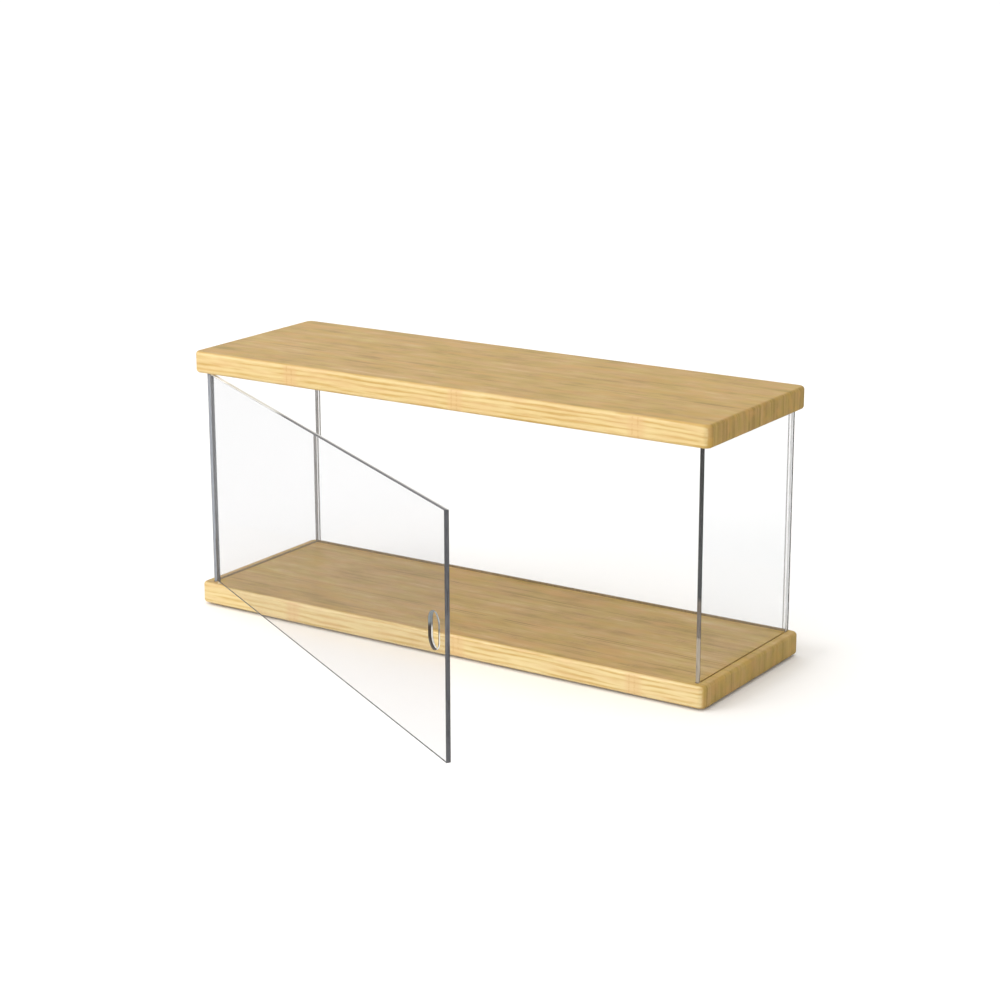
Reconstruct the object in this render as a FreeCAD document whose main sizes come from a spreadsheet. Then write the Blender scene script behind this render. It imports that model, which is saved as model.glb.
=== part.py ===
import FreeCAD, Part
import Sketcher
import math
import os
import re

# Acrylic display case: two blond bamboo boards held apart by three clear sheets that stand in grooves,
# closed at the front by a clear door that turns on two steel pins at its left end.
# Frame: +X to the right, +Y to the back, +Z up, in millimetres. The origin is the middle of the plane that
# the four feet stand on. The door stands open at rest.

driving_sizes = {
    # boards
    "board_width": 400,
    "board_depth": 130,
    "board_thick": 15,
    "board_corner_radius": 5,
    "board_edge_round": 2.2,
    "clear_height": 150,
    # clear sheets and the grooves that hold them
    "sheet_thick": 3,
    "sheet_arris": 0.3,
    "side_inset": 6.5,
    "face_inset": 3,
    "panel_joint_gap": 0.1,
    "groove_depth": 5,
    "groove_side_gap": 0.15,
    # door
    "door_open_angle": 30.7,
    "door_stop_gap": 0.3,
    "door_bottom_play": 0.1,
    "door_top_play": 0.3,
    "door_heel": 4,
    "heel_land": 0.8,
    "heel_gap": 0.4,
    # finger slot in the door
    "slot_width": 13,
    "slot_height": 22,
    "slot_edge_distance": 16,
    "slot_rim_chamfer": 0.5,
    # pivot pins, set in the door's upper and lower edges
    "pin_radius": 0.75,
    "pin_grip": 6,
    "pin_reach": 4.5,
    "pin_end_chamfer": 0.2,
    "pin_glue_gap": 0.02,
    "pin_hole_end_gap": 0.2,
    # pivot bushes, pushed into the boards
    "bush_running_gap": 0.05,
    "bush_sleeve_radius": 1.6,
    "bush_sleeve_length": 6,
    "bush_flange_radius": 2.3,
    "bush_flange_thick": 0.8,
    "bush_chamfer": 0.2,
    "bush_push_gap": 0.03,
    "bush_hole_end_gap": 0.5,
    # feet, stuck in shallow seats under the bottom board
    "foot_radius": 6,
    "foot_edge_inset": 16,
    "foot_seat_depth": 1,
    "foot_seat_gap": 0.1,
    "foot_proud": 1.5,
    "foot_chamfer": 0.8,
}

doc = FreeCAD.newDocument("display_case")
sizes = doc.addObject("Spreadsheet::Sheet", "Sizes")
for row, (size_name, size) in enumerate(driving_sizes.items(), start=1):
    sizes.set(f"A{row}", size_name)
    sizes.set(f"B{row}", str(size))
    sizes.setAlias(f"B{row}", size_name)
doc.recompute()

# Places worked out from the driving sizes, as expressions of the sheet
side_outer = "(board_width / 2 - side_inset)"
side_middle = f"({side_outer} - sheet_thick / 2)"
side_inner = f"({side_outer} - sheet_thick)"
back_outer = "(board_depth / 2 - face_inset)"
back_middle = f"({back_outer} - sheet_thick / 2)"
back_inner = f"({back_outer} - sheet_thick)"
door_outer = "(face_inset - board_depth / 2)"
side_front = f"({door_outer} + sheet_thick + door_stop_gap)"
floor_level = "(foot_proud + board_thick)"
ceiling_level = f"({floor_level} + clear_height)"
heel_sweep = "sqrt(door_heel ^ 2 + (sheet_thick / 2) ^ 2)"
pivot_x = f"({heel_sweep} + heel_gap - {side_inner})"
pivot_y = f"({door_outer} + sheet_thick / 2)"
door_reach = f"({side_outer} - {pivot_x})"
door_level = f"({floor_level} + bush_flange_thick + door_bottom_play)"
door_height = "(clear_height - 2 * bush_flange_thick - door_bottom_play - door_top_play)"
groove_radius = "(sheet_thick / 2 + groove_side_gap)"
foot_x = "(board_width / 2 - foot_edge_inset)"
foot_y = "(board_depth / 2 - foot_edge_inset)"


def linked(text):
    """The expression with each size read from the sheet."""
    return re.sub(r"\b[a-z]+(?:_[a-z]+)+\b", r"Sizes.\g<0>", text)


def amount(text):
    """The expression's value now."""
    return float(sizes.evalExpression(text))


def new_body(label):
    body = doc.addObject("PartDesign::Body", label)
    body.Label = label
    return body


def place(body, x="0", y="0", z="0"):
    for letter, text in (("x", x), ("y", y), ("z", z)):
        body.setExpression(f"Placement.Base.{letter}", linked(text))


def new_sketch(body, name, role, offset="0"):
    """A sketch on one of the body's own planes, moved along that plane's normal."""
    sketch = body.newObject("Sketcher::SketchObject", name)
    plane = next(feature for feature in body.Origin.OriginFeatures if feature.Role == role)
    sketch.AttachmentSupport = [(plane, "")]
    sketch.MapMode = "FlatFace"
    sketch.setExpression("AttachmentOffset.Base.z", linked(offset))
    return sketch


def tie_point(sketch, geometry, end, x, y):
    """Holds a point of the sketch at two expressions of the sheet."""
    for kind, text, axis in (("DistanceX", x, -2), ("DistanceY", y, -1)):
        if text == "0":
            sketch.addConstraint(Sketcher.Constraint("PointOnObject", geometry, end, axis))
        else:
            index = sketch.addConstraint(Sketcher.Constraint(kind, geometry, end, amount(text)))
            sketch.setExpression(f"Constraints[{index}]", linked(text))


def tie_radius(sketch, geometry, radius):
    index = sketch.addConstraint(Sketcher.Constraint("Radius", geometry, amount(radius)))
    sketch.setExpression(f"Constraints[{index}]", linked(radius))


def draw_polygon(sketch, corners):
    points = [FreeCAD.Vector(amount(x), amount(y), 0) for x, y in corners]
    count = len(points)
    for index, point in enumerate(points):
        sketch.addGeometry(Part.LineSegment(point, points[(index + 1) % count]), False)
    for index, (x, y) in enumerate(corners):
        sketch.addConstraint(Sketcher.Constraint("Coincident", index, 2, (index + 1) % count, 1))
        tie_point(sketch, index, 1, x, y)


def draw_circle(sketch, x, y, radius):
    centre = FreeCAD.Vector(amount(x), amount(y), 0)
    geometry = sketch.addGeometry(Part.Circle(centre, FreeCAD.Vector(0, 0, 1), amount(radius)), False)
    tie_point(sketch, geometry, 3, x, y)
    tie_radius(sketch, geometry, radius)


def draw_slot(sketch, start, end, radius):
    """A round-ended slot between two end centres."""
    first, last = (FreeCAD.Vector(amount(x), amount(y), 0) for x, y in (start, end))
    along = math.atan2(last.y - first.y, last.x - first.x)
    size = amount(radius)
    aside = FreeCAD.Vector(math.sin(along), -math.cos(along), 0) * size
    quarter = math.pi / 2
    up = FreeCAD.Vector(0, 0, 1)
    first_arc = Part.ArcOfCircle(Part.Circle(first, up, size), along + quarter, along + 3 * quarter)
    last_arc = Part.ArcOfCircle(Part.Circle(last, up, size), along - quarter, along + quarter)
    one_side = Part.LineSegment(first + aside, last + aside)
    other_side = Part.LineSegment(last - aside, first - aside)
    a, b, c, d = (sketch.addGeometry(g, False) for g in (first_arc, one_side, last_arc, other_side))
    for before, after in ((a, b), (b, c), (c, d), (d, a)):
        sketch.addConstraint(Sketcher.Constraint("Tangent", before, 2, after, 1))
    sketch.addConstraint(Sketcher.Constraint("Equal", a, c))
    tie_point(sketch, a, 3, *start)
    tie_point(sketch, c, 3, *end)
    tie_radius(sketch, a, radius)


def pad(body, sketch, length):
    feature = body.newObject("PartDesign::Pad", sketch.Name + "_pad")
    feature.Profile = sketch
    feature.setExpression("Length", linked(length))
    doc.recompute()
    return feature


def pocket(body, sketch, depth, along_normal=False):
    """Cuts against the sketch plane's normal, or along it, and makes sure that something was cut."""
    before = body.Shape.Volume
    feature = body.newObject("PartDesign::Pocket", sketch.Name + "_pocket")
    feature.Profile = sketch
    feature.Reversed = along_normal
    feature.setExpression("Length", linked(depth))
    doc.recompute()
    if not body.Shape.Volume < before:
        raise RuntimeError(f"{feature.Name} cut nothing")
    return feature


def dress_edges(body, kind, size_property, size, name, chosen):
    """A fillet or chamfer on the edges of the body that the test chooses."""
    base = body.Tip
    edges = [f"Edge{index}" for index, edge in enumerate(base.Shape.Edges, start=1) if chosen(edge)]
    feature = body.newObject(f"PartDesign::{kind}", name)
    feature.Base = (base, edges)
    feature.setExpression(size_property, linked(size))
    doc.recompute()
    return feature


def lies_at(edge, letter, level):
    """True if the whole edge lies on the level along that axis."""
    box = edge.BoundBox
    low, high = getattr(box, letter + "Min"), getattr(box, letter + "Max")
    return math.isclose(low, level, abs_tol=1e-4) and math.isclose(high, level, abs_tol=1e-4)


def stands_upright(edge):
    box = edge.BoundBox
    return box.ZLength > max(box.XLength, box.YLength)


def turned_body(label, profile):
    """A body turned about its own Z axis from a profile of radius and height expressions."""
    body = new_body(label)
    sketch = new_sketch(body, label + "_profile", "XZ_Plane")
    draw_polygon(sketch, profile)
    feature = body.newObject("PartDesign::Revolution", label + "_turning")
    feature.Profile = sketch
    feature.ReferenceAxis = (sketch, ["V_Axis"])
    doc.recompute()
    return body


def make_board(label, grooved_face, cuts_upwards):
    """A board with eased edges, grooves for the three fixed sheets and a hole for a pivot bush."""
    body = new_body(label)
    outline = new_sketch(body, label + "_outline", "XY_Plane")
    half_width, half_depth = "board_width / 2", "board_depth / 2"
    left, front = f"-{half_width}", f"-{half_depth}"
    corners = [(left, front), (half_width, front), (half_width, half_depth), (left, half_depth)]
    draw_polygon(outline, corners)
    pad(body, outline, "board_thick")
    dress_edges(body, "Fillet", "Radius", "board_corner_radius", label + "_corners", stands_upright)
    levels = (0, amount("board_thick"))
    rim = lambda edge: any(lies_at(edge, "Z", level) for level in levels)
    dress_edges(body, "Fillet", "Radius", "board_edge_round", label + "_eased_edges", rim)
    groove_runs = {
        "left": ((f"-{side_middle}", side_front), (f"-{side_middle}", back_outer)),
        "right": ((side_middle, side_front), (side_middle, back_outer)),
        "back": ((f"-{side_inner}", back_middle), (side_inner, back_middle)),
    }
    for side, (start, end) in groove_runs.items():
        groove = new_sketch(body, f"{label}_{side}_groove", "XY_Plane", grooved_face)
        draw_slot(groove, start, end, groove_radius)
        pocket(body, groove, "groove_depth", cuts_upwards)
    hole = new_sketch(body, label + "_bush_hole", "XY_Plane", grooved_face)
    draw_circle(hole, pivot_x, pivot_y, "bush_sleeve_radius + bush_push_gap")
    pocket(body, hole, "bush_sleeve_length + bush_hole_end_gap", cuts_upwards)
    return body


def make_panel(label, x_low, x_high, y_low, y_high):
    """A fixed clear sheet that stands in the grooves of both boards."""
    body = new_body(label)
    outline = new_sketch(body, label + "_outline", "XY_Plane")
    draw_polygon(outline, [(x_low, y_low), (x_high, y_low), (x_high, y_high), (x_low, y_high)])
    pad(body, outline, "clear_height + 2 * groove_depth")
    dress_edges(body, "Chamfer", "Size", "sheet_arris", label + "_arrises", lambda edge: True)
    place(body, z=f"{floor_level} - groove_depth")
    return body


def make_door():
    """The clear door, drawn closed about its pivot axis and then turned open. Its heel is bevelled inside."""
    body = new_body("door_panel")
    inner, outer = "sheet_thick / 2", "-sheet_thick / 2"
    bevel_end = "sheet_thick - heel_land - door_heel"
    outline = new_sketch(body, "door_outline", "XY_Plane")
    corners = [("-door_heel", outer), (door_reach, outer), (door_reach, inner), (bevel_end, inner),
               ("-door_heel", f"heel_land + {outer}")]
    draw_polygon(outline, corners)
    pad(body, outline, door_height)
    dress_edges(body, "Chamfer", "Size", "sheet_arris", "door_arrises", lambda edge: True)
    slot = new_sketch(body, "finger_slot", "XZ_Plane", inner)
    slot_x = f"{door_reach} - slot_edge_distance"
    slot_rise = "(slot_height - slot_width) / 2"
    slot_low, slot_high = f"{door_height} / 2 - {slot_rise}", f"{door_height} / 2 + {slot_rise}"
    draw_slot(slot, (slot_x, slot_low), (slot_x, slot_high), "slot_width / 2")
    pocket(body, slot, "sheet_thick")
    slot_near, slot_far = (amount(f"{slot_x} {sign} slot_width") for sign in "-+")
    faces = (amount(outer), amount(inner))

    def on_slot_rim(edge):
        on_face = any(lies_at(edge, "Y", level) for level in faces)
        return on_face and edge.BoundBox.XMin > slot_near and edge.BoundBox.XMax < slot_far

    dress_edges(body, "Chamfer", "Size", "slot_rim_chamfer", "finger_slot_rims", on_slot_rim)
    for name, level, upwards in (("lower_pin_hole", "0", True), ("upper_pin_hole", door_height, False)):
        hole = new_sketch(body, name, "XY_Plane", level)
        draw_circle(hole, "0", "0", "pin_radius + pin_glue_gap")
        pocket(body, hole, "pin_grip + pin_hole_end_gap", upwards)
    body.Placement = FreeCAD.Placement(FreeCAD.Vector(), FreeCAD.Rotation(FreeCAD.Vector(0, 0, -1), 0))
    body.setExpression("Placement.Rotation.Angle", linked("door_open_angle"))
    place(body, pivot_x, pivot_y, door_level)
    return body


def make_pivot_pin(label, below, above, level):
    """A steel pin on the pivot axis, reaching below and above a level by the given lengths."""
    edge = "pin_radius - pin_end_chamfer"
    profile = [("0", f"-{below}"), (edge, f"-{below}"), ("pin_radius", f"pin_end_chamfer - {below}"),
               ("pin_radius", f"{above} - pin_end_chamfer"), (edge, above), ("0", above)]
    body = turned_body(label, profile)
    place(body, pivot_x, pivot_y, level)
    return body


def make_pivot_bush(label, level, upside_down):
    """A flanged bush whose flange lies on a board's inner face and carries the door."""
    bore, sleeve, flange = "pin_radius + bush_running_gap", "bush_sleeve_radius", "bush_flange_radius"
    thick = "bush_flange_thick"
    profile = [(bore, "-bush_sleeve_length"), (f"{sleeve} - bush_chamfer", "-bush_sleeve_length"),
               (sleeve, "bush_chamfer - bush_sleeve_length"), (sleeve, "0"), (flange, "0"),
               (flange, f"{thick} - bush_chamfer"), (f"{flange} - bush_chamfer", thick),
               (f"{bore} + bush_chamfer", thick), (bore, f"{thick} - bush_chamfer")]
    body = turned_body(label, profile)
    if upside_down:
        body.Placement = FreeCAD.Placement(FreeCAD.Vector(), FreeCAD.Rotation(FreeCAD.Vector(1, 0, 0), 180))
    place(body, pivot_x, pivot_y, level)
    return body


def make_foot(label, x, y):
    """A soft round foot, stuck in its seat, with its lower edge chamfered."""
    top = "foot_proud + foot_seat_depth"
    profile = [("0", "0"), ("foot_radius - foot_chamfer", "0"), ("foot_radius", "foot_chamfer"),
               ("foot_radius", top), ("0", top)]
    body = turned_body(label, profile)
    place(body, x, y)
    return body


feet_places = {
    "foot_front_left": (f"-{foot_x}", f"-{foot_y}"),
    "foot_front_right": (foot_x, f"-{foot_y}"),
    "foot_back_left": (f"-{foot_x}", foot_y),
    "foot_back_right": (foot_x, foot_y),
}

bottom_board = make_board("bottom_board", "board_thick", False)
for foot_name, (x, y) in feet_places.items():
    seat = new_sketch(bottom_board, foot_name + "_seat", "XY_Plane")
    draw_circle(seat, x, y, "foot_radius + foot_seat_gap")
    pocket(bottom_board, seat, "foot_seat_depth", True)
place(bottom_board, z="foot_proud")

top_board = make_board("top_board", "0", True)
place(top_board, z=ceiling_level)

left_panel = make_panel("left_panel", f"-{side_outer}", f"-{side_inner}", side_front, back_outer)
right_panel = make_panel("right_panel", side_inner, side_outer, side_front, back_outer)
back_end = f"({side_inner} - panel_joint_gap)"
back_panel = make_panel("back_panel", f"-{back_end}", back_end, back_inner, back_outer)

door_panel = make_door()
lower_pin = make_pivot_pin("lower_pivot_pin", "pin_reach", "pin_grip", door_level)
upper_pin = make_pivot_pin("upper_pivot_pin", "pin_grip", "pin_reach", f"{door_level} + {door_height}")
lower_bush = make_pivot_bush("lower_pivot_bush", floor_level, False)
upper_bush = make_pivot_bush("upper_pivot_bush", ceiling_level, True)
feet = [make_foot(foot_name, x, y) for foot_name, (x, y) in feet_places.items()]

doc.recompute()
pieces = [bottom_board, top_board, left_panel, right_panel, back_panel, door_panel,
          lower_pin, upper_pin, lower_bush, upper_bush, *feet]
for item in doc.Objects:
    if {"Invalid", "Error"} & set(item.State):
        raise RuntimeError(f"{item.Label} failed: {item.State}")
for piece in pieces:
    if piece.Shape.isNull() or not piece.Shape.isValid() or len(piece.Shape.Solids) != 1:
        raise RuntimeError(f"{piece.Label} is not one valid solid")
os.makedirs("parts", exist_ok=True)
for piece in pieces:
    piece.Shape.exportStep(f"parts/{piece.Label}.step")
    box = piece.Shape.BoundBox
    spans = (box.XMin, box.XMax, box.YMin, box.YMax, box.ZMin, box.ZMax)
    print(piece.Label, "volume", round(piece.Shape.Volume, 1), "box", [round(span, 2) for span in spans])
print("pivot axis at", round(amount(pivot_x), 3), round(amount(pivot_y), 3))
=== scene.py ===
import bpy
import math
from mathutils import Matrix, Vector


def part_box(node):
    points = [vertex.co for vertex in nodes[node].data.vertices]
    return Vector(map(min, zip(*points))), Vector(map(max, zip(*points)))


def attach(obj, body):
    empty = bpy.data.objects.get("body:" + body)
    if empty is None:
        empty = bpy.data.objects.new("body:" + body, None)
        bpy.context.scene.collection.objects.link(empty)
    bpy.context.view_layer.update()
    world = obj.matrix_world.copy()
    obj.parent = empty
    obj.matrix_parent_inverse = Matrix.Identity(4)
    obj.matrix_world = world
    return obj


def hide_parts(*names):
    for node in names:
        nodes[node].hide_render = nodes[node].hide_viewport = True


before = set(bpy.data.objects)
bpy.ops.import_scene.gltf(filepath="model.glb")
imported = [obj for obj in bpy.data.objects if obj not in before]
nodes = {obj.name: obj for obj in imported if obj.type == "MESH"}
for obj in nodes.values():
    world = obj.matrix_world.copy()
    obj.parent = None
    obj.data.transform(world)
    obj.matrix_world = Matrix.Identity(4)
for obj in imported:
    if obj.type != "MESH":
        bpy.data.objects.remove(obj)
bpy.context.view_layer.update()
mm = 0.001
seedShift = (3.7, 1.9, 5.3)    # moves a noise along for each step of its seed
print("frame loaded:", len(nodes), "nodes")


# node helpers, shared by every finish

def newFinish(name):
    finish = bpy.data.materials.new(name)
    finish.use_nodes = True
    tree = finish.node_tree
    tree.nodes.clear()
    output = tree.nodes.new("ShaderNodeOutputMaterial")
    shader = tree.nodes.new("ShaderNodeBsdfPrincipled")
    tree.links.new(shader.outputs["BSDF"], output.inputs["Surface"])
    return finish, tree, shader


def feed(tree, value, socket):  # links a socket, or sets a plain value
    if isinstance(value, bpy.types.NodeSocket):
        tree.links.new(value, socket)
    else:
        socket.default_value = value


def calc(tree, operation, *values):
    node = tree.nodes.new("ShaderNodeMath")
    node.operation = operation
    for value, socket in zip(values, node.inputs):
        feed(tree, value, socket)
    return node.outputs[0]


def ramp(tree, value, low, high, toLow=0.0, toHigh=1.0):  # smooth step from low to high
    node = tree.nodes.new("ShaderNodeMapRange")
    node.interpolation_type = "SMOOTHSTEP"
    feed(tree, value, node.inputs["Value"])
    feed(tree, low, node.inputs["From Min"])
    feed(tree, high, node.inputs["From Max"])
    feed(tree, toLow, node.inputs["To Min"])
    feed(tree, toHigh, node.inputs["To Max"])
    return node.outputs["Result"]


def blendNumber(tree, factor, first, second):
    node = tree.nodes.new("ShaderNodeMix")
    feed(tree, factor, node.inputs["Factor"])
    feed(tree, first, node.inputs["A"])
    feed(tree, second, node.inputs["B"])
    return node.outputs["Result"]


def blendColour(tree, factor, first, second):
    node = tree.nodes.new("ShaderNodeMix")
    node.data_type = "RGBA"
    sockets = [s for s in node.inputs if s.type == "RGBA"]
    feed(tree, factor, node.inputs["Factor"])
    feed(tree, first, sockets[0])
    feed(tree, second, sockets[1])
    return next(s for s in node.outputs if s.type == "RGBA")


def tinted(tree, colour, tint):  # a colour times a tint
    node = tree.nodes.new("ShaderNodeVectorMath")
    node.operation = "MULTIPLY"
    feed(tree, colour, node.inputs[0])
    feed(tree, tint, node.inputs[1])
    return node.outputs[0]


def sized(tree, vector, amount):  # a vector or colour times a number
    node = tree.nodes.new("ShaderNodeVectorMath")
    node.operation = "SCALE"
    feed(tree, vector, node.inputs[0])
    feed(tree, amount, node.inputs["Scale"])
    return node.outputs[0]


def measure(tree, point, along):  # distance along a direction
    node = tree.nodes.new("ShaderNodeVectorMath")
    node.operation = "DOT_PRODUCT"
    node.inputs[1].default_value = along
    tree.links.new(point, node.inputs[0])
    return node.outputs["Value"]


def splitUp(tree, point):
    node = tree.nodes.new("ShaderNodeSeparateXYZ")
    tree.links.new(point, node.inputs[0])
    return node.outputs


def millimetres(tree):  # Object coordinates in mm
    place = tree.nodes.new("ShaderNodeTexCoord")
    return sized(tree, place.outputs["Object"], 1 / mm)


def streaks(tree, point, lengths, detail, seed):  # noise with features of these lengths in mm
    node = tree.nodes.new("ShaderNodeMapping")
    node.vector_type = "POINT"
    node.inputs["Scale"].default_value = [1 / length for length in lengths]
    node.inputs["Location"].default_value = [seed * step for step in seedShift]
    tree.links.new(point, node.inputs["Vector"])
    noise = tree.nodes.new("ShaderNodeTexNoise")
    noise.inputs["Scale"].default_value = 1
    noise.inputs["Detail"].default_value = detail
    tree.links.new(node.outputs[0], noise.inputs["Vector"])
    return noise.outputs[0]


def roughen(tree, shader, marks, middle, swing):  # roughness that swings about its middle
    feed(tree, calc(tree, "MULTIPLY_ADD", marks, swing, middle - swing / 2), shader.inputs["Roughness"])


def wear(node, finish):  # a CAD node keeps its shape and takes a finish
    slots = nodes[node].data.materials
    slots.clear()
    slots.append(finish)


# laminated bamboo boards

bamboo = {
    "halfWidth": 200,                     # mm, the boards' sides
    "halfDepth": 65,
    "edgeRound": 2.2,                     # mm inside a side where its own grain begins
    "edgeFull": 0.4,                      # and where it has taken over
    "stripWidth": 4.4,                    # mm, strips stand on edge and run along X
    "stripVaries": 0.21,                  # how often a strip's width changes
    "stripWander": 5.0,                   # mm, how far
    "stripSeeds": (31.0, 17.3),           # steps for the widths and for the tones
    "glueShare": 0.06,                    # part of a strip
    "nodePitch": 133,                     # mm between the growth rings of a culm
    "nodePlace": 16.5,                    # mm, where a ring crosses the long sides
    "ringLines": ((-2.6, 0.2, 0.8), (1.4, 0.2, 0.9)),    # mm: place, core and fade of its lines
    "ringBand": (3.0, 8.0),               # mm: core and fade of its blush
    "ringShare": (0.10, 0.55),            # blush on the flat faces and on the long sides
    "ringGaps": (0.38, 0.55),
    "jointLine": (0.35, 0.95),            # mm: core and fade of a dark joint between staves
    "jointGaps": (0.30, 0.55),
    "layerPitch": 3.4,                    # mm between the wavy layers on the long sides
    "layerDrift": 2.0,                    # pitches that a layer wanders
    "layerForce": (0.28, 0.70),
    "dark": (0.325, 0.208, 0.036, 1),
    "middle": (0.545, 0.345, 0.106, 1),
    "light": (0.705, 0.535, 0.262, 1),
    "darkToMiddle": (0.0, 0.5),
    "middleToLight": (0.42, 1.0),
    "ring": (0.640, 0.395, 0.185, 1),
    "ringBlush": (0.42, 0.70, 0.0, 0.40),
    "golden": (0.600, 0.345, 0.085, 1),
    "goldenGlow": (0.50, 0.70, 0.0, 0.5),
    "olive": (0.970, 1.000, 0.870, 1),    # tints of the patches on the flat faces
    "rosy": (1.030, 0.985, 1.130, 1),
    "oliveToRosy": (0.34, 0.66),
    "plain": (1.000, 1.015, 1.075, 1),    # tint of the long sides
    "roughness": 0.42,
    "roughSwing": 0.14,
    "gloss": 0.38,
    "relief": 0.25,
    "reliefDepth": 0.06 * mm,
    "dips": {"joint": -0.6, "glue": -0.4},
}
grain = {                                 # mm along X, Y and Z, detail, step of the seed
    "fine": ((42, 0.5, 0.5), 3, 0),
    "broad": ((90, 2.6, 2.6), 2, 1),
    "dashes": ((9, 0.28, 0.28), 1, 2),
    "drift": ((110, 60, 17), 2, 3),
    "patches": ((48, 20, 20), 1, 4),
    "fade": ((40, 60, 60), 1, 5),
    "pores": ((3, 0.35, 0.55), 1, 6),
    "upright": ((30, 0.9, 40), 2, 7),
    "force": ((38, 20, 1.8), 2, 8),
    "broken": ((2, 2.5, 1.4), 1, 9),
    "flecks": ((9, 1.6, 1.6), 2, 10),
    "glow": ((36, 9, 9), 1, 11),
    "blush": ((26, 26, 4), 2, 12),
    "mottle": ((22, 8, 8), 1, 13),
    "hue": ((22, 9, 9), 2, 14),
}
flatMix = {                               # fine lines, bands, flecks and dark joints
    "base": 0.46,
    "swings": {"fine": 0.40, "broad": 0.48, "tone": 0.12, "dashes": 0.18, "flecks": 0.42, "mottle": 0.46,
               "patches": 0.56, "dense": -0.06},
    "marks": {"glue": -0.04, "ringLine": -0.12, "joint": -0.42},
}
sideMix = {                               # wavy amber layers
    "base": 0.86,
    "swings": {"fine": 0.30, "dashes": 0.20, "flecks": 0.30, "patches": 0.26},
    "marks": {"amber": -0.46, "ringLine": -0.30},
}
endMix = {                                # upright strips with dense dark sides and fine pores
    "base": 0.30,
    "swings": {"tone": 0.18, "dense": -0.14, "upright": 0.66, "pores": 0.22},
    "marks": {"glue": -0.12},
}
topBoard = {
    "seed": 1.0,
    "paintedLight": 0.0,                          # painted light: makes the sides and ends a little paler, to make up for the shade on them
    "tint": (0.820, 0.828, 0.752),
    "seams": ((-16, 1.0), (-32, 0.5), (19, 0.4), (42, 0.35)),    # mm along Y, depth of tone
}
bottomBoard = {
    "seed": 2.0,
    # painted light: the sides and ends paler, where the bottom board gets less light
    "paintedLight": 0.06,
    # painted light: a cooler tint than the top board's, to take back the warm light bounced onto this board
    "tint": (0.844, 0.880, 0.870),
    "seams": ((-20, 1.0), (-23, 0.6), (8, 0.35), (31, 0.6), (-44, 0.5)),
}


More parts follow.
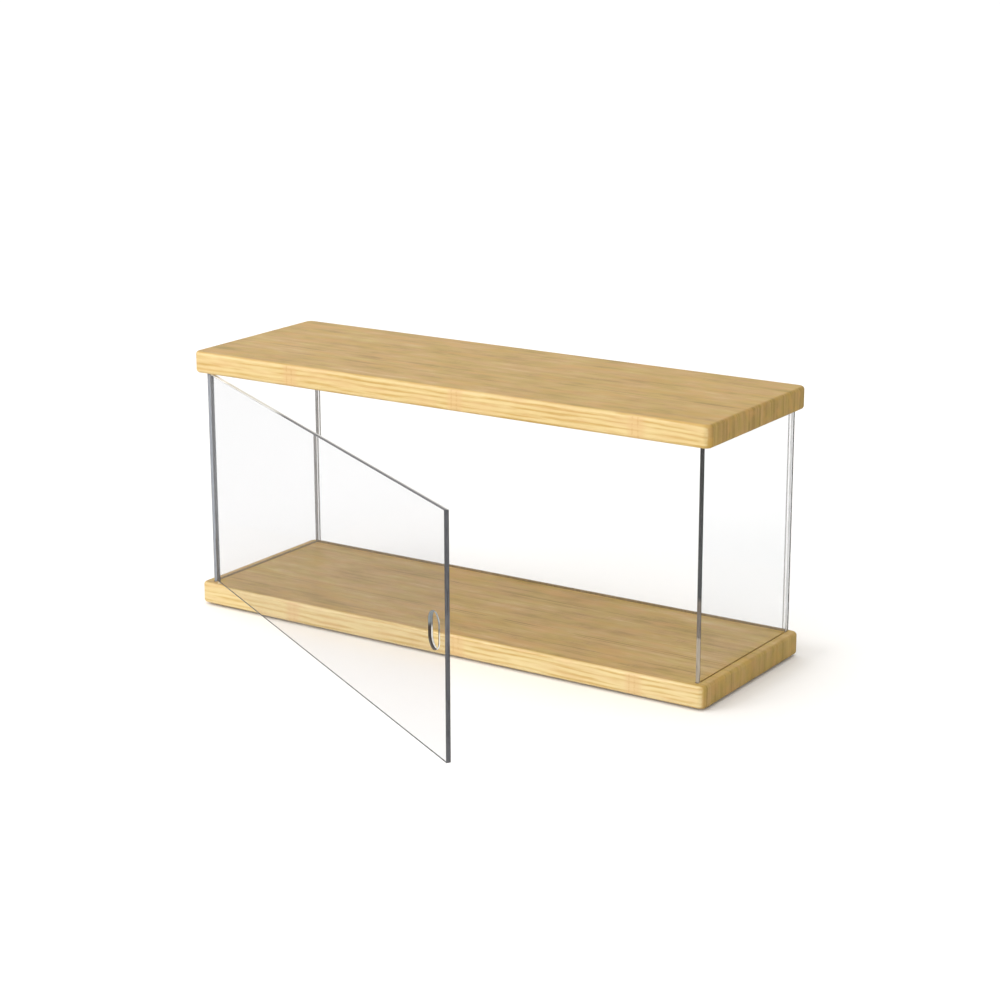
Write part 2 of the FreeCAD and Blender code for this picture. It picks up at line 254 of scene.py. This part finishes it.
def bambooFinish(name, board):
    finish, tree, shader = newFinish(name)
    point = millimetres(tree)
    x, y, z = splitUp(tree, point)
    layers = {}
    for layer, (lengths, detail, step) in grain.items():
        layers[layer] = streaks(tree, point, lengths, detail, board["seed"] + step)

    def scaled(value, amount):
        return calc(tree, "MULTIPLY", value, amount)

    def lineAt(value, level, core, fade):  # 1 on a line across a coordinate, 0 away from it
        away = calc(tree, "ABSOLUTE", calc(tree, "SUBTRACT", value, level))
        return ramp(tree, away, core, fade, 1.0, 0.0)

    def weigh(mix, paintedLight):  # swings go both ways from their middle, marks only one way, and the second argument adds painted light
        total = mix["base"] + paintedLight
        for layer, amount in mix["swings"].items():
            total = calc(tree, "MULTIPLY_ADD", calc(tree, "SUBTRACT", layers[layer], 0.5), amount, total)
        for layer, amount in mix["marks"].items():
            total = calc(tree, "MULTIPLY_ADD", layers[layer], amount, total)
        return total

    def nearing(coordinate, half):  # 0 on the flat faces, 1 on a side
        away = calc(tree, "ABSOLUTE", coordinate)
        return ramp(tree, away, half - bamboo["edgeRound"], half - bamboo["edgeFull"])

    onSide = nearing(y, bamboo["halfDepth"])
    onEnd = nearing(x, bamboo["halfWidth"])
    offSide = calc(tree, "SUBTRACT", 1.0, onSide)

    # strips of uneven width, each with its own tone and a denser side
    widthSeed, toneSeed = bamboo["stripSeeds"]
    wobble = tree.nodes.new("ShaderNodeTexNoise")
    wobble.noise_dimensions = "1D"
    wobble.inputs["Scale"].default_value = bamboo["stripVaries"]
    wobble.inputs["Detail"].default_value = 1
    feed(tree, calc(tree, "ADD", y, board["seed"] * widthSeed), wobble.inputs["W"])
    uneven = calc(tree, "MULTIPLY_ADD", wobble.outputs[0], bamboo["stripWander"], y)
    strip = calc(tree, "DIVIDE", uneven, bamboo["stripWidth"])
    index = calc(tree, "FLOOR", strip)
    part = calc(tree, "FRACT", strip)
    dice = tree.nodes.new("ShaderNodeTexWhiteNoise")
    dice.noise_dimensions = "1D"
    feed(tree, calc(tree, "ADD", index, board["seed"] * toneSeed), dice.inputs["W"])
    shades = tree.nodes.new("ShaderNodeSeparateColor")
    tree.links.new(dice.outputs["Color"], shades.inputs[0])
    layers["tone"], shift, turn = shades.outputs
    flipped = calc(tree, "SUBTRACT", 1.0, part)
    layers["dense"] = blendNumber(tree, calc(tree, "GREATER_THAN", turn, 0.5), part, flipped)
    layers["glue"] = ramp(tree, calc(tree, "MINIMUM", part, flipped), 0.0, bamboo["glueShare"], 1.0, 0.0)

    # growth rings: each strip has its own on the flat faces, the long sides share one row
    place = blendNumber(tree, onSide, scaled(shift, bamboo["nodePitch"]), bamboo["nodePlace"])
    turns = calc(tree, "DIVIDE", calc(tree, "SUBTRACT", x, place), bamboo["nodePitch"])
    fromRing = scaled(calc(tree, "SUBTRACT", turns, calc(tree, "ROUND", turns)), bamboo["nodePitch"])
    first, second = [lineAt(fromRing, *line) for line in bamboo["ringLines"]]
    broken = ramp(tree, layers["broken"], *bamboo["ringGaps"])
    layers["ringLine"] = calc(tree, "MULTIPLY", calc(tree, "MAXIMUM", first, second), broken)
    ringBand = lineAt(fromRing, 0.0, *bamboo["ringBand"])

    # dark joints between the wider staves
    joint = 0.0
    for level, depth in board["seams"]:
        joint = calc(tree, "MAXIMUM", scaled(lineAt(y, level, *bamboo["jointLine"]), depth), joint)
    layers["joint"] = calc(tree, "MULTIPLY", joint, ramp(tree, layers["fade"], *bamboo["jointGaps"]))

    # wavy layers on the long sides
    level = calc(tree, "DIVIDE", z, bamboo["layerPitch"])
    phase = calc(tree, "MULTIPLY_ADD", layers["drift"], bamboo["layerDrift"], level)
    wave = calc(tree, "MULTIPLY_ADD", calc(tree, "SINE", scaled(phase, math.tau)), 0.5, 0.5)
    force = ramp(tree, layers["force"], *bamboo["layerForce"])
    layers["amber"] = calc(tree, "MULTIPLY", ramp(tree, wave, 0.0, 1.0), force)

    # tone, with painted light on the sides and ends, then colour
    shade = blendNumber(tree, onSide, weigh(flatMix, 0.0), weigh(sideMix, board["paintedLight"]))
    shade = blendNumber(tree, onEnd, shade, weigh(endMix, board["paintedLight"]))
    colour = blendColour(tree, ramp(tree, shade, *bamboo["darkToMiddle"]), bamboo["dark"], bamboo["middle"])
    colour = blendColour(tree, ramp(tree, shade, *bamboo["middleToLight"]), colour, bamboo["light"])
    glow = ramp(tree, layers["glow"], *bamboo["goldenGlow"])
    colour = blendColour(tree, calc(tree, "MULTIPLY", glow, offSide), colour, bamboo["golden"])
    blush = ramp(tree, layers["blush"], *bamboo["ringBlush"])
    colour = blendColour(tree, calc(tree, "MULTIPLY", blush, onSide), colour, bamboo["ring"])
    ringed = scaled(ringBand, blendNumber(tree, onSide, *bamboo["ringShare"]))
    colour = blendColour(tree, ringed, colour, bamboo["ring"])
    hue = ramp(tree, layers["hue"], *bamboo["oliveToRosy"])
    hue = blendColour(tree, hue, bamboo["olive"], bamboo["rosy"])
    hue = tinted(tree, blendColour(tree, onSide, hue, bamboo["plain"]), board["tint"])
    tree.links.new(tinted(tree, colour, hue), shader.inputs["Base Color"])

    # satin varnish over a fine relief
    roughen(tree, shader, layers["fine"], bamboo["roughness"], bamboo["roughSwing"])
    shader.inputs["Specular IOR Level"].default_value = bamboo["gloss"]
    relief = layers["fine"]
    for layer, amount in bamboo["dips"].items():
        relief = calc(tree, "MULTIPLY_ADD", layers[layer], amount, relief)
    bump = tree.nodes.new("ShaderNodeBump")
    bump.inputs["Strength"].default_value = bamboo["relief"]
    bump.inputs["Distance"].default_value = bamboo["reliefDepth"]
    tree.links.new(relief, bump.inputs["Height"])
    tree.links.new(bump.outputs[0], shader.inputs["Normal"])
    return finish


wear("top_board", bambooFinish("bambooTop", topBoard))
wear("bottom_board", bambooFinish("bambooBottom", bottomBoard))
print("boards finished")


# clear acrylic sheets

acrylic = {
    "ior": 1.49,
    "halfThick": 1.5,                     # mm
    "edgeBand": (0.12, 0.04),             # mm below a face, where the cut edge's finish fades out
    "face": (0.980, 0.985, 0.990, 1),
    "doorFace": (0.946, 0.947, 0.955, 1),
    "clarity": 0.72,                      # share of a face that bends light without mirroring any
    "edgeRough": 0.30,                    # the cut edges are left satin
    "roughSwing": 0.2,
    "sawMarks": ((0.5, 0.5, 9), 2, 5.0),  # mm, detail, seed
    "sawTone": 0.37,                      # added to the marks, which darken or lighten the tone
    "throw": (0.98, 0.985, 0.99, 1),
    "openAngle": 30.7,                    # degrees, the door at rest
    "pivot": (-185.828, -60.5),
    "slotPlace": 363.3,                   # mm from the pivot to the finger slot's middle
    "slotReach": 8,                       # mm each way from there
}


def within(tree, point, tests):  # 1 where a place lies between two levels along each direction
    mask = 1.0
    for along, low, high, soft in tests:
        value = measure(tree, point, along)
        above = ramp(tree, value, low - soft, low + soft)
        below = ramp(tree, value, high - soft, high + soft, 1.0, 0.0)
        mask = calc(tree, "MULTIPLY", calc(tree, "MULTIPLY", above, below), mask)
    return mask


def acrylicFinish(name, normal, level, edge, face):  # level is the sheet's middle along its normal, in mm
    finish, tree, shader = newFinish(name)
    point = millimetres(tree)
    depth = calc(tree, "ABSOLUTE", calc(tree, "SUBTRACT", measure(tree, point, normal), level))
    inner, outer = [acrylic["halfThick"] - band for band in acrylic["edgeBand"]]
    onEdge = ramp(tree, depth, inner, outer, 1.0, 0.0)

    # clear faces: part bends light only, so that the sheet glares little
    shader.inputs["Base Color"].default_value = face
    shader.inputs["Transmission Weight"].default_value = 1
    shader.inputs["Roughness"].default_value = 0
    shader.inputs["IOR"].default_value = acrylic["ior"]
    bend = tree.nodes.new("ShaderNodeBsdfRefraction")
    bend.inputs["Color"].default_value = face
    bend.inputs["Roughness"].default_value = 0
    bend.inputs["IOR"].default_value = acrylic["ior"]
    window = tree.nodes.new("ShaderNodeMixShader")
    window.inputs[0].default_value = acrylic["clarity"]
    tree.links.new(shader.outputs["BSDF"], window.inputs[1])
    tree.links.new(bend.outputs[0], window.inputs[2])

    # satin edges with saw marks, in greys that paint the shade and light the clear cut edges show, and zones
    # of painted light and shade on the edges or the faces
    satin = tree.nodes.new("ShaderNodeBsdfPrincipled")
    cut = streaks(tree, point, *acrylic["sawMarks"])
    paintedGrey = edge["paintedGrey"]
    share = calc(tree, "MULTIPLY", onEdge, edge["share"])
    for area in edge["paintedZones"]:
        mask = within(tree, point, area["tests"])
        if area["edgeOnly"]:
            mask = calc(tree, "MULTIPLY", mask, onEdge)
        paintedGrey = blendColour(tree, mask, paintedGrey, area["paintedGrey"])
        share = blendNumber(tree, mask, share, area["share"])
    marked = sized(tree, paintedGrey, calc(tree, "ADD", cut, acrylic["sawTone"]))
    tree.links.new(marked, satin.inputs["Base Color"])
    roughen(tree, satin, cut, acrylic["edgeRough"], acrylic["roughSwing"])
    satin.inputs["IOR"].default_value = acrylic["ior"]
    sheet = tree.nodes.new("ShaderNodeMixShader")
    feed(tree, share, sheet.inputs[0])
    tree.links.new(window.outputs[0], sheet.inputs[1])
    tree.links.new(satin.outputs["BSDF"], sheet.inputs[2])

    # lamps and bounced light pass a sheet straight, so that it casts only a faint shadow
    path = tree.nodes.new("ShaderNodeLightPath")
    clear = tree.nodes.new("ShaderNodeBsdfTransparent")
    clear.inputs["Color"].default_value = acrylic["throw"]
    seen = sheet.outputs[0]
    for ray in ("Is Diffuse Ray", "Is Shadow Ray"):
        mixed = tree.nodes.new("ShaderNodeMixShader")
        tree.links.new(path.outputs[ray], mixed.inputs[0])
        tree.links.new(seen, mixed.inputs[1])
        tree.links.new(clear.outputs["BSDF"], mixed.inputs[2])
        seen = mixed.outputs[0]
    tree.links.new(seen, tree.get_output_node("ALL").inputs["Surface"])
    return finish


def sheetMiddle(node, axis):
    low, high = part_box(node)
    return (low[axis] + high[axis]) / 2 / mm


def paintedZone(paintedGrey, share, *tests, edgeOnly=False):  # a place painted with its own tone of light and shade
    return {"paintedGrey": (*paintedGrey, 1), "share": share, "tests": tests, "edgeOnly": edgeOnly}


alongX, alongY, alongZ = (1, 0, 0), (0, 1, 0), (0, 0, 1)
swing = math.radians(acrylic["openAngle"])
doorNormal = (math.sin(swing), math.cos(swing), 0)
doorAlong = (math.cos(swing), -math.sin(swing), 0)
doorLevel = acrylic["pivot"][0] * doorNormal[0] + acrylic["pivot"][1] * doorNormal[1]
heelPlace = acrylic["pivot"][0] * doorAlong[0] + acrylic["pivot"][1] * doorAlong[1]


def alongDoor(low, high, soft):  # mm from the pivot
    return doorAlong, heelPlace + low, heelPlace + high, soft


def throughDoor(low, high, soft):  # mm from the sheet's middle, inwards
    return doorNormal, doorLevel + low, doorLevel + high, soft


leftInside = (alongX, -190.9, -190, 0.1)
rightOutside = (alongX, 193, 194, 0.1)
backInside = (alongY, 58, 59.4, 0.1)
backHalf = (alongY, 0, 70, 5)
doorTop = (alongZ, 165.2, 167, 0.05)
slotFrom = acrylic["slotPlace"] - acrylic["slotReach"]
slotTo = acrylic["slotPlace"] + acrylic["slotReach"]
slotSpan = alongDoor(slotFrom, slotTo, 0.2)

# painted light and shade: the left sheet's cut edges in a mid blue-grey, paler on the back half
leftEdge = {
    "paintedGrey": (0.35, 0.375, 0.42, 1),
    "share": 0.72,
    "paintedZones": [
        paintedZone((0.40, 0.41, 0.42), 0.8, backHalf, edgeOnly=True),
        paintedZone((0.20, 0.19, 0.185), 0.8, (alongY, 57.4, 60, 0.2), leftInside),         # painted shade: a dark line down the inner corner by the back sheet
        paintedZone((0.45, 0.41, 0.35), 0.7, (alongZ, 16, 17.9, 0.3), leftInside),          # painted shade: a grey band along the foot, just above the board
    ],
}
# painted shade: the right sheet's cut edges nearly black, and nearly clear on the back half
rightEdge = {
    "paintedGrey": (0.070, 0.073, 0.075, 1),
    "share": 0.72,
    "paintedZones": [
        paintedZone((0.045, 0.046, 0.045), 0.72, (alongZ, 125, 200, 25), edgeOnly=True),    # painted shade: darker under the top board
        paintedZone((0.20, 0.172, 0.145), 0.72, (alongZ, -5, 69, 3), edgeOnly=True),        # painted reflection: warmer and paler near the bottom board, whose tone the edge carries
        paintedZone((0.44, 0.385, 0.31), 0.72, (alongZ, -5, 45, 1), edgeOnly=True),
        paintedZone((0.16, 0.15, 0.14), 0.1, backHalf, edgeOnly=True),
        paintedZone((0.42, 0.30, 0.13), 0.7, (alongZ, 16, 17.2, 0.2), rightOutside),        # painted light: a warm band along the outer foot, just above the board
    ],
}
# painted light and shade: the back sheet's cut edges in a mid grey
backEdge = {
    "paintedGrey": (0.50, 0.49, 0.48, 1),
    "share": 0.85,
    "paintedZones": [
        paintedZone((0.96, 0.96, 0.95), 0.95, (alongX, 0, 210, 5), edgeOnly=True),          # painted light: the right end nearly white
        paintedZone((0.14, 0.135, 0.13), 0.85, (alongX, -188.3, -187.0, 0.2), backInside),  # painted shade: dark lines down the inner corners by the side sheets
        paintedZone((0.16, 0.16, 0.16), 0.7, (alongX, 188.5, 189.4, 0.2), backInside),
        paintedZone((0.195, 0.145, 0.075), 0.95, (alongZ, 16, 18.3, 0.3), backInside),      # painted shade: a dark band along the foot, just above the board
    ],
}
# painted shade: the door's cut edges in a dark grey
doorEdge = {
    "paintedGrey": (0.15, 0.152, 0.165, 1),
    "share": 0.72,
    "paintedZones": [
        paintedZone((0.09, 0.092, 0.098), 0.9, alongDoor(-6, 1.1, 0.2), throughDoor(-0.6, 2, 0.1)),    # painted shade: a dark strip along the heel
        paintedZone((0.72, 0.71, 0.69), 0.85, doorTop, throughDoor(0.1, 2, 0.1)),           # painted light: the inner half of the top edge pale
        paintedZone((0.82, 0.82, 0.78), 0.85, doorTop, alongDoor(-6, 125, 12)),             # painted light: paler towards the pivot
        paintedZone((1.0, 1.0, 0.98), 0.9, doorTop, alongDoor(-6, 28, 6)),
        paintedZone((0.31, 0.345, 0.355), 0.78, slotSpan, (alongZ, 93, 110, 2), edgeOnly=True),        # painted light and shade in the finger slot: grey upper wall, dark lower wall and a pale inner half below
        paintedZone((0.055, 0.042, 0.035), 0.85, slotSpan, (alongZ, 75, 93, 2), edgeOnly=True),
        paintedZone((0.85, 0.84, 0.80), 0.85, slotSpan, (alongZ, 75, 92, 2), throughDoor(0.2, 2, 0.1), edgeOnly=True),
    ],
}
for node, name, axis, normal, edge in (
        ("left_panel", "acrylicLeft", 0, alongX, leftEdge),
        ("right_panel", "acrylicRight", 0, alongX, rightEdge),
        ("back_panel", "acrylicBack", 1, alongY, backEdge)):
    wear(node, acrylicFinish(name, normal, sheetMiddle(node, axis), edge, acrylic["face"]))
wear("door_panel", acrylicFinish("acrylicDoor", doorNormal, doorLevel, doorEdge, acrylic["doorFace"]))
print("sheets finished")


# steel pins and nylon bushes on the door's axis

pins = {
    "colour": (0.56, 0.565, 0.575, 1),
    "roughness": 0.28,
    "roughSwing": 0.2,
    "turning": ((6, 6, 0.12), 1, 8.0),    # mm, detail, seed of the lathe marks
}
bushes = {
    "colour": (0.50, 0.40, 0.25, 1),
    "mottleTone": 0.93,                   # below 1 is darker, above 1 paler
    "roughness": 0.48,
    "roughSwing": 0.12,
    "mottle": ((0.7, 0.7, 0.7), 2, 9.0),
    "glow": 0.15,                         # light that goes under the skin
    "glowReach": (0.001, 0.0009, 0.0007),
}


def shaded(colour, amount):  # a colour made lighter or darker
    return (*(min(1, c * amount) for c in colour[:3]), 1)


def steelFinish():
    finish, tree, shader = newFinish("pinSteel")
    shader.inputs["Metallic"].default_value = 1
    shader.inputs["Base Color"].default_value = pins["colour"]
    rings = streaks(tree, millimetres(tree), *pins["turning"])
    roughen(tree, shader, rings, pins["roughness"], pins["roughSwing"])
    return finish


def softFinish(name, piece):  # for the bushes and the feet
    finish, tree, shader = newFinish(name)
    mottle = streaks(tree, millimetres(tree), *piece["mottle"])
    other = shaded(piece["colour"], piece["mottleTone"])
    tree.links.new(blendColour(tree, mottle, piece["colour"], other), shader.inputs["Base Color"])
    roughen(tree, shader, mottle, piece["roughness"], piece["roughSwing"])
    shader.inputs["Subsurface Weight"].default_value = piece["glow"]
    shader.inputs["Subsurface Radius"].default_value = piece["glowReach"]
    return finish


steel = steelFinish()
nylon = softFinish("bushNylon", bushes)
for level in ("lower", "upper"):
    wear(level + "_pivot_pin", steel)
    wear(level + "_pivot_bush", nylon)
print("hardware finished")


# soft feet: one moulded shape set at the four corners of a grid

feet = {
    "radius": 6.0 * mm,
    "height": 2.5 * mm,
    "squareness": 0.32,                   # 1 is a ball, small is a disc with a rounded rim
    "spanX": 368 * mm,
    "spanY": 98 * mm,
    "segments": 48,
    "rings": 28,
    "colour": (0.50, 0.505, 0.51, 1),
    "mottleTone": 1.16,
    "roughness": 0.5,
    "roughSwing": 0.2,
    "mottle": ((1.1, 1.1, 0.6), 3, 12.0),
    "glow": 0.2,
    "glowReach": (0.0015, 0.0015, 0.0014),
}


def footTree(finish):
    tree = bpy.data.node_groups.new("feetLayout", "GeometryNodeTree")
    tree.interface.new_socket("Geometry", in_out="OUTPUT", socket_type="NodeSocketGeometry")
    for name in ("radius", "height", "squareness", "spanX", "spanY"):
        socket = tree.interface.new_socket(name, in_out="INPUT", socket_type="NodeSocketFloat")
        socket.default_value = feet[name]
    given = tree.nodes.new("NodeGroupInput").outputs
    result = tree.nodes.new("NodeGroupOutput")

    def product(first, second):
        return calc(tree, "MULTIPLY", first, second)

    def power(value):  # keeps the sign, so that a ball squares off into a disc
        size = calc(tree, "POWER", calc(tree, "ABSOLUTE", value), given["squareness"])
        return product(size, calc(tree, "SIGN", value))

    ball = tree.nodes.new("GeometryNodeMeshUVSphere")
    ball.inputs["Segments"].default_value = feet["segments"]
    ball.inputs["Rings"].default_value = feet["rings"]
    ball.inputs["Radius"].default_value = 1
    where = tree.nodes.new("GeometryNodeInputPosition")
    ballX, ballY, ballZ = splitUp(tree, where.outputs[0])
    flat = calc(tree, "SQRT", calc(tree, "ADD", product(ballX, ballX), product(ballY, ballY)))
    safe = calc(tree, "MAXIMUM", flat, 0.0001)    # the poles have no radius to divide by
    swell = calc(tree, "DIVIDE", product(power(flat), given["radius"]), safe)
    half = product(given["height"], 0.5)
    join = tree.nodes.new("ShaderNodeCombineXYZ")
    feed(tree, product(ballX, swell), join.inputs[0])
    feed(tree, product(ballY, swell), join.inputs[1])
    feed(tree, calc(tree, "MULTIPLY_ADD", power(ballZ), half, half), join.inputs[2])
    mould = tree.nodes.new("GeometryNodeSetPosition")
    tree.links.new(ball.outputs["Mesh"], mould.inputs["Geometry"])
    tree.links.new(join.outputs[0], mould.inputs["Position"])
    corners = tree.nodes.new("GeometryNodeMeshGrid")
    corners.inputs["Vertices X"].default_value = 2
    corners.inputs["Vertices Y"].default_value = 2
    feed(tree, given["spanX"], corners.inputs["Size X"])
    feed(tree, given["spanY"], corners.inputs["Size Y"])
    scatter = tree.nodes.new("GeometryNodeInstanceOnPoints")
    tree.links.new(corners.outputs["Mesh"], scatter.inputs["Points"])
    tree.links.new(mould.outputs["Geometry"], scatter.inputs["Instance"])
    real = tree.nodes.new("GeometryNodeRealizeInstances")
    tree.links.new(scatter.outputs[0], real.inputs[0])
    smooth = tree.nodes.new("GeometryNodeSetShadeSmooth")
    tree.links.new(real.outputs[0], smooth.inputs["Geometry"])
    paint = tree.nodes.new("GeometryNodeSetMaterial")
    paint.inputs["Material"].default_value = finish
    tree.links.new(smooth.outputs[0], paint.inputs["Geometry"])
    tree.links.new(paint.outputs[0], result.inputs[0])
    return tree


def growFeet():
    seed = bpy.data.objects.new("feetSeed", bpy.data.meshes.new("feetSeed"))
    bpy.context.scene.collection.objects.link(seed)
    layout = seed.modifiers.new("layout", "NODES")
    layout.node_group = footTree(softFinish("footSilicone", feet))
    for item in layout.node_group.interface.items_tree:
        if item.in_out == "INPUT":
            layout[item.identifier] = feet[item.name]
    graph = bpy.context.evaluated_depsgraph_get()
    mesh = bpy.data.meshes.new_from_object(seed.evaluated_get(graph))
    bpy.data.objects.remove(seed)
    grown = bpy.data.objects.new("silicone_feet", mesh)
    bpy.context.scene.collection.objects.link(grown)
    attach(grown, "case")
    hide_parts("foot_front_left", "foot_front_right", "foot_back_left", "foot_back_right")
    return grown


siliconeFeet = growFeet()
print("feet grown:", len(siliconeFeet.data.polygons), "faces")


# pale floor

floor = {
    "half": 300.0,
    "colour": (0.96, 0.96, 0.96, 1),
    "mirrored": (0.34, 0.34, 0.35, 1),    # what the sheets mirror, as with dark flags round the set
    "roughness": 0.65,
}


def layFloor():
    half = floor["half"]
    corners = [(-half, -half, 0), (half, -half, 0), (half, half, 0), (-half, half, 0)]
    mesh = bpy.data.meshes.new("floor")
    mesh.from_pydata(corners, [], [(0, 1, 2, 3)])
    finish, tree, shader = newFinish("floorPale")
    path = tree.nodes.new("ShaderNodeLightPath")
    mirrored = calc(tree, "MINIMUM", path.outputs["Glossy Depth"], 1.0)
    colour = blendColour(tree, mirrored, floor["colour"], floor["mirrored"])
    tree.links.new(colour, shader.inputs["Base Color"])
    shader.inputs["Roughness"].default_value = floor["roughness"]
    mesh.materials.append(finish)
    laid = bpy.data.objects.new("floor", mesh)
    bpy.context.scene.collection.objects.link(laid)


layFloor()
print("floor laid")


# soft studio light

keyLight = {
    "place": (-1.7, -2.7, 1.25),
    "aim": (0, 0, 0.08),
    "size": 2.2,
    "power": 57.5,
    "colour": (1.0, 0.97, 0.93),
}
room = {
    "towards": (-0.50, -0.75, 0.43),      # the bright side of the room
    "spread": (-0.7, 0.8),
    "bright": (1.449, 1.426, 1.386, 1),
    "dim": (0.506, 0.512, 0.523, 1),
    "seen": (0.98, 0.98, 0.975, 1),       # what the camera meets past the floor
}


def hangLamp(name, lamp):
    light = bpy.data.lights.new(name, "AREA")
    light.shape = "DISK"
    light.size = lamp["size"]
    light.energy = lamp["power"]
    light.color = lamp["colour"]
    hung = bpy.data.objects.new(name, light)
    bpy.context.scene.collection.objects.link(hung)
    hung.location = lamp["place"]
    hung.rotation_mode = "QUATERNION"
    hung.rotation_quaternion = (Vector(lamp["aim"]) - Vector(lamp["place"])).to_track_quat("-Z", "Y")


def lightRoom():
    world = bpy.data.worlds.new("studio")
    bpy.context.scene.world = world
    world.use_nodes = True
    tree = world.node_tree
    gaze = tree.nodes.new("ShaderNodeTexCoord")
    facing = measure(tree, gaze.outputs["Generated"], room["towards"])
    walls = blendColour(tree, ramp(tree, facing, *room["spread"]), room["dim"], room["bright"])
    path = tree.nodes.new("ShaderNodeLightPath")
    shown = blendColour(tree, path.outputs["Is Camera Ray"], walls, room["seen"])
    tree.links.new(shown, tree.nodes["Background"].inputs["Color"])


hangLamp("keyLight", keyLight)
lightRoom()
bpy.context.scene.view_settings.view_transform = "Standard"
print("studio lit")


# camera at the photograph's view

viewpoint = {
    "place": (0.85606, -1.29010, 0.51920),
    "right": (0.831351, 0.555731, -0.004402),
    "up": (-0.141629, 0.219517, 0.965274),
    "back": (0.537399, -0.801858, 0.261203),
    "lens": 86.264,
    "sensor": 36,
    "shift": (0.02086, -0.01376),
    "farthest": 2000,
}


def setCamera():
    lens = bpy.data.cameras.new("photoCamera")
    lens.sensor_width = viewpoint["sensor"]
    lens.lens = viewpoint["lens"]
    lens.shift_x, lens.shift_y = viewpoint["shift"]
    lens.clip_end = viewpoint["farthest"]
    camera = bpy.data.objects.new("photoCamera", lens)
    bpy.context.scene.collection.objects.link(camera)
    turn = Matrix((viewpoint["right"], viewpoint["up"], viewpoint["back"])).transposed().to_4x4()
    camera.matrix_world = Matrix.Translation(viewpoint["place"]) @ turn
    bpy.context.scene.camera = camera


setCamera()
print("camera set")
